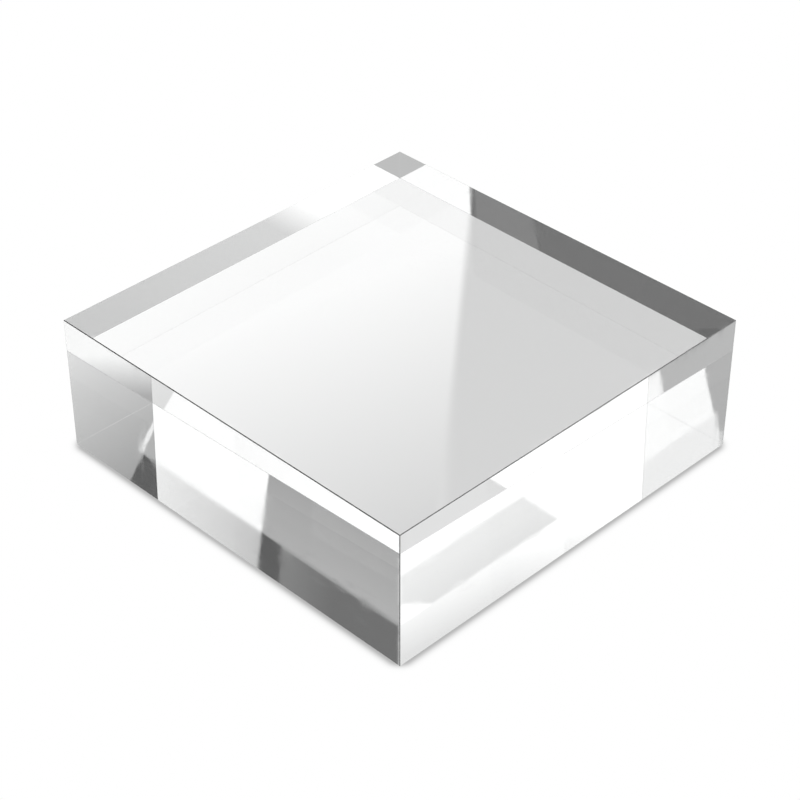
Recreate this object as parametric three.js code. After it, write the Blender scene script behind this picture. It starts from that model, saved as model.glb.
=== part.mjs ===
// A low display block for standing a small exhibit on: one solid piece of clear cast acrylic,
// square in plan, with flat polished faces and every edge eased by the same fine round.
// The origin is the centre of the underside, and +Z is up.
import * as THREE from "three";
import { RoundedBoxGeometry } from "three/addons/geometries/RoundedBoxGeometry.js";

// Driving dimensions, in millimetres.
const SIDE = 76.2; // width and depth: a 3 inch square
const HEIGHT = 25; // nominal 1 inch cast sheet
const ARRIS_RADIUS = 0.25; // the round that takes the sharpness off each edge
const ARRIS_STEPS = 3; // facets from a face to the middle of its edge

// Water-white acrylic: colourless, very smooth and mostly see-through.
function clearAcrylic() {
  return new THREE.MeshStandardMaterial({
    color: 0xf4f8f9,
    roughness: 0.03,
    metalness: 0,
    transparent: true,
    opacity: 0.35,
  });
}

// The block, standing on the plane z = 0.
function acrylicBlock() {
  const shape = new RoundedBoxGeometry(SIDE, SIDE, HEIGHT, ARRIS_STEPS, ARRIS_RADIUS);
  const block = new THREE.Mesh(shape, clearAcrylic());
  block.name = "acrylic_block";
  block.position.z = HEIGHT / 2;
  return block;
}

const displayBlock = new THREE.Group();
displayBlock.add(acrylicBlock());

export default displayBlock;
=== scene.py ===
"""A clear acrylic display block on a lit white sweep."""

import math

import bmesh
import bpy
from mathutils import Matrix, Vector


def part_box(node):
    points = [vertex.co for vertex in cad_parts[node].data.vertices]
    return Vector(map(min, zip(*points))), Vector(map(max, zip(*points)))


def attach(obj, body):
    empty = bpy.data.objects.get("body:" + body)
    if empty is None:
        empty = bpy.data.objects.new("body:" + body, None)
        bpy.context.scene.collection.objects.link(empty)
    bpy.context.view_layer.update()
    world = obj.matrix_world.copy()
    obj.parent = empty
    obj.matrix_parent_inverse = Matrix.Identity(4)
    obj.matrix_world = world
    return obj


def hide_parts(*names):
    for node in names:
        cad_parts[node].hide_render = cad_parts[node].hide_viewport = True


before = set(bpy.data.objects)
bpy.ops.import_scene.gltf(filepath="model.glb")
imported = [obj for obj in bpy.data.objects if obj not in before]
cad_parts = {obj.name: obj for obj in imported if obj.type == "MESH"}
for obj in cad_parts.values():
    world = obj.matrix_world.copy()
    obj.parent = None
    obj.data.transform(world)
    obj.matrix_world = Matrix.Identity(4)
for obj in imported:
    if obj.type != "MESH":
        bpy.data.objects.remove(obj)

MM = 0.001

BLOCK_LOW, BLOCK_HIGH = (Vector(corner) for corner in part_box("acrylic_block"))
BLOCK_SIZE = BLOCK_HIGH - BLOCK_LOW
CORNER_REACH = BLOCK_SIZE.x / math.sqrt(2)

# The camera: a 100 mm lens that looks along the block's diagonal, from above.
LENS_MM = 100.22
LENS_SHIFT = 0.0002
CAMERA_DISTANCE = 0.2951
CAMERA_HEIGHT = 0.2255
AIM_HEIGHT = 0.0091
CAMERA_BEARING = math.radians(45.0)
CLIP_START = 0.01
CLIP_END = 20.0
TOWARDS_CAMERA = Vector((math.sin(CAMERA_BEARING), -math.cos(CAMERA_BEARING), 0.0))
AHEAD = -TOWARDS_CAMERA
RIGHT = Vector((math.cos(CAMERA_BEARING), math.sin(CAMERA_BEARING), 0.0))

# The block. Its top edges are broken a little more than its near uprights; its foot and back are crisp.
TOP_ARRIS = 0.142 * MM
UPRIGHT_ARRIS = 0.11 * MM
CRISP_ARRIS = 0.03 * MM
ARRIS_SEGMENTS = 6
# Fitted to the reference picture. Real acrylic is 1.49.
REFRACTIVE_INDEX = 2.431
CLEAR_BODY = (1.0, 1.0, 1.0)
CLEAR_BODY_DEEP = (0.994, 0.997, 0.996)
WAVE_SCALE = 60.0
WAVE_HEIGHT = 0.0000006
SMEAR_SCALE = 140.0
SMEAR_START = 0.45
SMEAR_END = 0.75
SMEAR_ROUGHNESS = 0.02

# Light has to cross the block many times before it gets out.
LIGHT_BOUNCES = 24

# The floor and the soft painted shadow where the block touches it, which gives out just before each corner.
FLOOR_RADIUS = 3.0
FLOOR_SEGMENTS = 64
FLOOR_GAP = 0.02 * MM
SHADOW_REACH = 0.93 * MM
SHADOW_DEPTH = 0.53
SHADOW_CORNER = 1.8 * MM


def as_colour(value):
    """A grey level or a red, green and blue as a four-part colour; a socket as it is."""
    if isinstance(value, float):
        return (value, value, value, 1.0)
    if isinstance(value, tuple):
        return (*value, 1.0)
    return value


class Nodes:
    """A node tree being written, one short call for each node."""

    def __init__(self, owner):
        owner.use_nodes = True
        self.tree = owner.node_tree
        self.tree.nodes.clear()

    def feed(self, socket, value):
        if isinstance(value, bpy.types.NodeSocket):
            self.tree.links.new(value, socket)
        else:
            socket.default_value = value

    def add(self, kind, inputs=None, **settings):
        node = self.tree.nodes.new(kind)
        for name, value in settings.items():
            setattr(node, name, value)
        for key, value in (inputs or {}).items():
            self.feed(node.inputs[key], value)
        return node

    def maths(self, operation, *values):
        return self.add("ShaderNodeMath", dict(enumerate(values)), operation=operation).outputs[0]

    def vector(self, operation, *values, result=0):
        return self.add("ShaderNodeVectorMath", dict(enumerate(values)), operation=operation).outputs[result]

    def noise(self, place, scale, detail):
        inputs = {"Vector": place, "Scale": scale, "Detail": detail}
        return self.add("ShaderNodeTexNoise", inputs).outputs[0]

    def ease(self, value, start, end, low=0.0, high=1.0):
        inputs = {"Value": value, "From Min": start, "From Max": end, "To Min": low, "To Max": high}
        return self.add("ShaderNodeMapRange", inputs, interpolation_type="SMOOTHSTEP").outputs[0]

    def blend(self, factor, first, second):
        """The first colour where factor is 0, the second where it is 1."""
        inputs = {0: factor, 6: as_colour(first), 7: as_colour(second)}
        return self.add("ShaderNodeMix", inputs, data_type="RGBA").outputs[2]


def add_camera():
    data = bpy.data.cameras.new("camera")
    data.lens = LENS_MM
    data.shift_x = LENS_SHIFT
    data.clip_start = CLIP_START
    data.clip_end = CLIP_END
    camera = bpy.data.objects.new("camera", data)
    camera.location = TOWARDS_CAMERA * CAMERA_DISTANCE + Vector((0, 0, CAMERA_HEIGHT))
    sight = Vector((0, 0, AIM_HEIGHT)) - camera.location
    camera.rotation_euler = sight.to_track_quat("-Z", "Y").to_euler()
    bpy.context.scene.collection.objects.link(camera)
    bpy.context.scene.camera = camera


def clear_acrylic():
    """Polished and clear, with the faintest waves and smears left by polishing."""
    material = bpy.data.materials.new("clear_acrylic")
    nodes = Nodes(material)
    place = nodes.add("ShaderNodeTexCoord").outputs["Object"]
    waves = nodes.noise(place, WAVE_SCALE, 2.0)
    smears = nodes.noise(place, SMEAR_SCALE, 3.0)
    body = nodes.blend(smears, CLEAR_BODY, CLEAR_BODY_DEEP)
    roughness = nodes.ease(smears, SMEAR_START, SMEAR_END, 0.0, SMEAR_ROUGHNESS)
    bump = nodes.add("ShaderNodeBump", {"Height": waves, "Strength": 1.0, "Distance": WAVE_HEIGHT}).outputs[0]
    inputs = {"Color": body, "Roughness": roughness, "IOR": REFRACTIVE_INDEX, "Normal": bump}
    glass = nodes.add("ShaderNodeBsdfGlass", inputs).outputs[0]
    nodes.add("ShaderNodeOutputMaterial", {"Surface": glass})
    return material


def edge_arris(edge):
    """How far to break this edge: on the top, upright and near the camera, or any other."""
    first, second = (corner.co - (BLOCK_LOW + BLOCK_HIGH) / 2 for corner in edge.verts)
    if min(first.z, second.z) > 0:
        return TOP_ARRIS
    at_back = min(first.dot(AHEAD), second.dot(AHEAD)) > CORNER_REACH / 2
    if max(first.z, second.z) < 0 or at_back:
        return CRISP_ARRIS
    return UPRIGHT_ARRIS


def add_block():
    mesh = bpy.data.meshes.new("acrylic_block_polished")
    shape = bmesh.new()
    bmesh.ops.create_cube(shape, size=1.0)
    bmesh.ops.scale(shape, vec=BLOCK_SIZE, verts=shape.verts)
    bmesh.ops.translate(shape, vec=(BLOCK_LOW + BLOCK_HIGH) / 2, verts=shape.verts)
    share = shape.edges.layers.float.new("bevel_weight_edge")
    for edge in shape.edges:
        edge[share] = edge_arris(edge) / TOP_ARRIS
    for face in shape.faces:
        face.smooth = True
    shape.to_mesh(mesh)
    shape.free()
    block = bpy.data.objects.new("acrylic_block_polished", mesh)
    bpy.context.scene.collection.objects.link(block)
    arris = block.modifiers.new("arris", "BEVEL")
    arris.limit_method = "WEIGHT"
    arris.width = TOP_ARRIS
    arris.segments = ARRIS_SEGMENTS
    arris.harden_normals = True
    block.data.materials.append(clear_acrylic())
    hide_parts("acrylic_block")
    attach(block, "root")
    return block


def lit_floor(footprint):
    """White, with a narrow soft shadow hugging the block's footprint."""
    material = bpy.data.materials.new("lit_floor")
    nodes = Nodes(material)
    place = nodes.add("ShaderNodeNewGeometry").outputs["Position"]
    # Painted shadow: the floor's glow is dimmed by its distance from the block's footprint, since the block
    # casts none on it.
    outside = nodes.vector("SUBTRACT", nodes.vector("ABSOLUTE", place), footprint)
    reach = nodes.vector("LENGTH", nodes.vector("MAXIMUM", outside, (0, 0, 0)), result=1)
    gap = nodes.maths("MAXIMUM", nodes.maths("SUBTRACT", reach, SHADOW_CORNER), 0.0)
    share = nodes.maths("DIVIDE", gap, SHADOW_REACH)
    fading = nodes.maths("EXPONENT", nodes.maths("MULTIPLY", nodes.maths("MULTIPLY", share, share), -1.0))
    tone = nodes.maths("SUBTRACT", 1.0, nodes.maths("MULTIPLY", fading, SHADOW_DEPTH))
    light = nodes.add("ShaderNodeEmission", {"Color": (1, 1, 1, 1), "Strength": tone}).outputs[0]
    nodes.add("ShaderNodeOutputMaterial", {"Surface": light})
    return material


def add_floor():
    mesh = bpy.data.meshes.new("floor")
    shape = bmesh.new()
    bmesh.ops.create_circle(shape, cap_ends=True, segments=FLOOR_SEGMENTS, radius=FLOOR_RADIUS)
    shape.to_mesh(mesh)
    shape.free()
    floor = bpy.data.objects.new("floor", mesh)
    bpy.context.scene.collection.objects.link(floor)
    floor.location.z = BLOCK_LOW.z - FLOOR_GAP
    footprint = (BLOCK_HIGH.x - SHADOW_CORNER, BLOCK_HIGH.y - SHADOW_CORNER, 1.0)
    floor.data.materials.append(lit_floor(footprint))
    floor.visible_glossy = False
    floor.visible_transmission = False


class Ramp:
    """A card whose tone changes evenly across it: tone at one spot, and its slopes to the right and ahead."""

    def __init__(self, tone, at, right=0.0, ahead=0.0, low=0.0, high=1.5):
        self.slopes = (right, ahead, tone - right * at[0] - ahead * at[1])
        self.low = low
        self.high = high

    def paint(self, nodes, spot):
        tone = nodes.vector("DOT_PRODUCT", spot, self.slopes, result=1)
        return nodes.add("ShaderNodeClamp", {"Value": tone, "Min": self.low, "Max": self.high}).outputs[0]


# How wide the soft edge of a card's outline is.
SHARP = 0.002
EASED = 0.006
SOFT = 0.012
FLAG_SOFTNESS = 0.6

# The grey between the cards, close in and far out, and how far out it changes from one to the other.
OPEN_STUDIO = 0.6
FAR_STUDIO = 0.95
CLOSE_REACH = 1.9
FAR_REACH = 3.5
FLAG_REACH = 3
LEAST_STEEPNESS = 0.0001

# The sight line that just clears a near top edge of the block, as metres ahead of the camera on a card plane
# 1 m below it, and the card edge that runs alongside it on the plane above.
TOP_EDGE = (CAMERA_DISTANCE - CORNER_REACH) / (CAMERA_HEIGHT - BLOCK_SIZE.z)
LOW_EDGE = 1.109

# How far out the cards that run on towards the horizon end.
OUTER = 12.0
HORIZON = 400.0


def near(edge, right):
    """The spot on a near edge's sight line that is this far right of the middle."""
    return (right, edge + abs(right))


def turned_right(*corners):
    """The same card mirrored over to the right, where the block's far left side sends a sight line."""
    return tuple((ahead, right) for right, ahead in corners)


def turned_left(*corners):
    """The same card mirrored over to the left, where the block's far right side sends a sight line."""
    return tuple((-ahead, -right) for right, ahead in corners)


FAR_LEFT_STRIP = Ramp(0.53, at=(0, -0.145), ahead=1.0, low=0.3)
FAR_LEFT_LIGHT = Ramp(0.55, at=(1.504, 0), right=9.5, ahead=9.5, low=0.55, high=1.3)
OVER_LEFT = Ramp(0.4, at=(0, 0.08), ahead=-5, low=0.0, high=0.4)
END_STRIP = Ramp(0.94, at=(1.4, 0), right=16, low=0.45, high=1.3)
FAR_END = Ramp(0.66, at=(1.35, -0.22), right=2.4, ahead=-3, low=0.3, high=1.1)
LEFT_INNER = Ramp(0.515, at=(0, 1.125), right=-1.9, ahead=-1.9, low=0.4, high=0.53)
LEFT_LOW = Ramp(0.74, at=(-0.1, 0), right=-5.8, high=1.3)
LEFT_LOW_DARK = Ramp(0.11, at=(-0.045, 0), right=-2.9, low=0.11, high=0.3)
RIGHT_LOW = Ramp(0.727, at=(0, 1.08), right=-6.6, ahead=8.5, low=0.7, high=1.3)
RIGHT_LOW_END = Ramp(0.8725, at=(0.075, 1.155), right=-2, ahead=8.5, low=0.7, high=1.3)
RIGHT_INNER = Ramp(0.72, at=(0, 1.11), right=-3.6, ahead=3.6, low=0.6, high=0.85)
# Tall flags all round the block, for the low views: two bearings in degrees right of ahead, then a grey.
FLAGS_BELOW = [
    (22, 40, 0.7),
    (47, 52, 0.45),
    (122, 134, 0.55),
    (168, 180, 0.6),
    (224, 231, 0.4),
    (300, 312, 0.62),
]
FLAGS_ABOVE = [(30, 44, 0.6), (128, 140, 0.45), (176, 190, 0.5), (220, 229, 0.55), (316, 330, 0.5)]


def spot_at(bearing, reach):
    angle = math.radians(bearing)
    return (reach * math.sin(angle), reach * math.cos(angle))


def flags(bearings):
    cards = []
    for start, end, tone in bearings:
        inner = (spot_at(start, FLAG_REACH), spot_at(end, FLAG_REACH))
        corners = (*inner, spot_at(end, HORIZON), spot_at(start, HORIZON))
        cards.append((corners, tone, FLAG_SOFTNESS))
    return cards


SWEEP = Ramp(0.86, at=(0.02, 1.42), right=-0.9, ahead=1.3, low=0.6, high=1.05)

# The studio is flat cards on two planes, 1 m above the camera and 1 m below it. A card's corners are metres
# to the right of the camera's line of sight and metres ahead of it, and later cards cover earlier ones. A card
# is its corners, then a grey level or a ramp of grey, then how soft its outline is. The layout is fitted to one
# reference picture seen from this camera: corners and greys were measured from it and then adjusted.
CARDS_BELOW = [
    # Far off and to both sides: what the broken edges pick up.
    (((-0.42, 1.0), (-1.0, 0.42), (-1.9, 0.42), (-1.9, 1.9), (-0.42, 1.9)), 0.15, SOFT),
    (((0.42, 1.0), (1.0, 0.42), (1.9, 0.42), (1.9, 1.9), (0.42, 1.9)), 0.2, SOFT),
    *flags(FLAGS_BELOW),
    # Ahead: the lit sweep seen down through the top face, and the strips under the two near top edges.
    (((-0.4, 1.1), (0.0175, 1.1), (0.944, OUTER), (-4, OUTER)), SWEEP, SOFT),
    (((0.0175, 1.1), (0.4, 1.1), (4, OUTER), (0.944, OUTER)), 0.72, SOFT),
    ((near(TOP_EDGE, -0.172), near(TOP_EDGE, 0), (0, 1.1), (-0.18, 1.2), (-0.18, 1.345)), 1.4, SHARP),
    ((near(TOP_EDGE, 0), (0, 1.1), (0.115, 1.218), near(TOP_EDGE, 0.065)), 0.69, SHARP),
    ((near(TOP_EDGE, 0.065), near(TOP_EDGE, 0.2), (0.2, 1.3), (0.115, 1.218)), 1.3, SHARP),
    # Right: the far left strip of the top face, and the top of the left face's far end.
    (((1.1, -0.4), (OUTER, -4), (OUTER, 0), (1.1, 0)), FAR_LEFT_STRIP, SHARP),
    (((1.504, 0), (1.9, -0.396), (OUTER, -0.396), (OUTER, 0)), FAR_LEFT_LIGHT, SHARP),
    (turned_right((-0.4, 1.3), near(TOP_EDGE, -0.4), near(TOP_EDGE, -0.17), (-0.17, 1.3)), END_STRIP, SHARP),
    # Left: the far right strip of the top face, and the top of the right face's far end.
    (((-1.1, -0.4), (-OUTER, -4), (-OUTER, 0), (-1.1, 0)), 0.0, SHARP),
    (((-1.55, -0.0655), (-1.75, -0.0655), (-1.75, -0.105), (-1.55, -0.118)), 0.08, SHARP),
    (((-1.6, -0.0605), (-1.75, -0.0605), (-1.75, -0.0658)), 0.3, SHARP),
    (((-OUTER, -0.0607), (-1.5, -0.0607), (-1.5, 0.05), (-OUTER, 0.05)), 1.2, SHARP),
    (turned_left((0.2008, 1.2), near(TOP_EDGE, 0.2008), near(TOP_EDGE, 0.35), (0.35, 1.2)), 0.34, SHARP),
    (turned_left((0.2008, 1.2), near(TOP_EDGE, 0.2008), near(TOP_EDGE, 0.1), (0.1, 1.2)), 1.1, SHARP),
    # What the two near side faces mirror.
    (((-OUTER, 0), (-1, 0), (-1, 0.4), (-OUTER, 4)), 0.27, SHARP),
    (((OUTER, 0), (1, 0), (1, 0.4), (OUTER, 4)), 0.9, SHARP),
    # Behind the camera.
    (((-0.5, -1), (0.5, -1), (0.5, -1.9), (-0.5, -1.9)), 0.42, SOFT),
]
CARDS_ABOVE = [
    # Far off and to both sides: what the broken edges pick up.
    (((-0.45, 0), (-0.45, 1.0), (-2.5, 1.0), (-2.5, 0)), OVER_LEFT, SOFT),
    (((0.45, 0), (0.45, 1.0), (2.5, 1.0), (2.5, 0)), 0.9, SOFT),
    *flags(FLAGS_ABOVE),
    # Ahead: mirrored by the top face.
    (((-0.4, 1.0), (0.0175, 1.0), (0.757, OUTER), (-4, OUTER)), 0.85, SOFT),
    (((0.0175, 1.0), (0.4, 1.0), (4, OUTER), (0.757, OUTER)), 0.55, SOFT),
    (((-0.2, 1.95), (-1.2, OUTER), (-4, OUTER), (-0.7, 1.95)), 1.3, SOFT),
    (((0.12, 1.95), (0.5, 1.95), (4, OUTER), (1.4, OUTER)), 1.15, SOFT),
    # Ahead and left: the left face sees these turned upwards by the underside.
    (
        ((-0.21, 1.40), near(LOW_EDGE - 0.006, -0.21), near(LOW_EDGE - 0.006, -0.09), (-0.09, 1.28)),
        1.45,
        SHARP,
    ),
    ((near(LOW_EDGE, -0.3), near(LOW_EDGE, -0.09), (-0.09, 1.0), (-0.3, 1.3)), LEFT_LOW, EASED),
    ((near(LOW_EDGE, -0.097), near(LOW_EDGE, 0), (0, 1.2), (-0.0945, 1.2946)), LEFT_INNER, SHARP),
    ((near(LOW_EDGE, -0.097), near(LOW_EDGE, 0), (0, 1.04), (-0.0985, 1.1)), LEFT_LOW_DARK, 0.005),
    ((near(LOW_EDGE, -0.097), near(LOW_EDGE, -0.0825), (-0.0825, 1.1), (-0.0985, 1.1)), 0.02, SHARP),
    # Ahead and right: the same for the right face.
    (((0, 1.2), (0.21, 1.40), (0.21, 1.1), (0, 1.0)), 1.25, SHARP),
    (((0, 1.131), (0.023, 1.131), (0.1125, 1.2205), (0.088, 1.247), (0, 1.159)), RIGHT_INNER, EASED),
    ((near(LOW_EDGE, 0), near(LOW_EDGE, 0.21), (0.21, 1.1), (0, 1.0)), RIGHT_LOW, SHARP),
    ((near(LOW_EDGE, 0.075), near(LOW_EDGE, 0.21), (0.21, 1.1), (0.075, 1.1)), RIGHT_LOW_END, SHARP),
    # Right: the left face's far end.
    (((1.1, -0.4), (OUTER, -4), (OUTER, 0), (1.1, 0)), FAR_END, SHARP),
    (turned_right((-0.183, 1.34), (-0.1923, 1.294), (-0.17, 1.2), (-0.15, 1.34)), 0.52, SHARP),
    (turned_right((-0.1840, 1.34), (-0.1808, 1.34), (-0.1890, 1.297), (-0.1922, 1.302)), 1.2, 0.0012),
    (
        turned_right((-0.1880, 1.2985), (-0.1979, 1.25), (-0.1979, 1.2), (-0.1, 1.2), (-0.17, 1.2765)),
        0.0,
        SHARP,
    ),
    # Left: the right face's far end.
    (((-1.1, -0.4), (-OUTER, -4), (-OUTER, 0), (-1.1, 0)), 0.5, SHARP),
    (turned_left((0.236, 1.41), (0.238, 1.2), (0.1, 1.2), (0.1, 1.41)), 1.15, SHARP),
    (turned_left((0.236, 1.46), (0.238, 1.2), (0.4, 1.2), (0.4, 1.46)), 0.28, SHARP),
    (turned_left((0.2, 1.309), (0.238, 1.347), (0.238, 1.2), (0.1, 1.2)), 0.95, SHARP),
    # Behind the camera.
    (((-0.5, -1), (0.5, -1), (0.5, -1.9), (-0.5, -1.9)), 0.5, SOFT),
]


def card_cover(nodes, spot, corners, softness):
    """1 inside the card, 0 outside it, easing across its outline."""
    following = corners[1:] + corners[:1]
    turn = sum(a[0] * b[1] - b[0] * a[1] for a, b in zip(corners, following))
    depth = None
    for (x0, y0), (x1, y1) in zip(corners, following):
        scale = math.copysign(math.hypot(x1 - x0, y1 - y0), turn)
        inward = ((y0 - y1) / scale, (x1 - x0) / scale)
        side = (*inward, -inward[0] * x0 - inward[1] * y0)
        distance = nodes.vector("DOT_PRODUCT", spot, side, result=1)
        depth = distance if depth is None else nodes.maths("MINIMUM", depth, distance)
    return nodes.ease(depth, -softness / 2, softness / 2)


def paint_cards(nodes, spot, cards):
    reach = nodes.vector("LENGTH", nodes.vector("MULTIPLY", spot, (1, 1, 0)), result=1)
    colour = nodes.ease(reach, CLOSE_REACH, FAR_REACH, OPEN_STUDIO, FAR_STUDIO)
    for corners, paint, softness in cards:
        if isinstance(paint, Ramp):
            paint = paint.paint(nodes, spot)
        colour = nodes.blend(card_cover(nodes, spot, corners, softness), colour, paint)
    return colour


def add_studio():
    world = bpy.data.worlds.new("studio")
    bpy.context.scene.world = world
    nodes = Nodes(world)
    direction = nodes.add("ShaderNodeTexCoord").outputs["Generated"]
    up = nodes.vector("DOT_PRODUCT", direction, (0, 0, 1), result=1)
    steepness = nodes.maths("MAXIMUM", nodes.maths("ABSOLUTE", up), LEAST_STEEPNESS)
    right = nodes.maths("DIVIDE", nodes.vector("DOT_PRODUCT", direction, RIGHT, result=1), steepness)
    ahead = nodes.maths("DIVIDE", nodes.vector("DOT_PRODUCT", direction, AHEAD, result=1), steepness)
    spot = nodes.add("ShaderNodeCombineXYZ", {"X": right, "Y": ahead, "Z": 1.0}).outputs[0]
    above = paint_cards(nodes, spot, CARDS_ABOVE)
    below = paint_cards(nodes, spot, CARDS_BELOW)
    studio = nodes.blend(nodes.maths("GREATER_THAN", up, 0.0), below, above)
    from_camera = nodes.add("ShaderNodeLightPath").outputs["Is Camera Ray"]
    colour = nodes.blend(from_camera, studio, 1.0)
    sky = nodes.add("ShaderNodeBackground", {"Color": colour, "Strength": 1.0}).outputs[0]
    nodes.add("ShaderNodeOutputWorld", {"Surface": sky})
    world.cycles.sampling_method = "NONE"


def set_light_paths():
    scene = bpy.context.scene
    scene.view_settings.view_transform = "Standard"
    scene.cycles.max_bounces = LIGHT_BOUNCES
    scene.cycles.glossy_bounces = LIGHT_BOUNCES
    scene.cycles.transmission_bounces = LIGHT_BOUNCES


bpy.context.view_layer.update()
add_camera()
add_block()
add_floor()
add_studio()
set_light_paths()
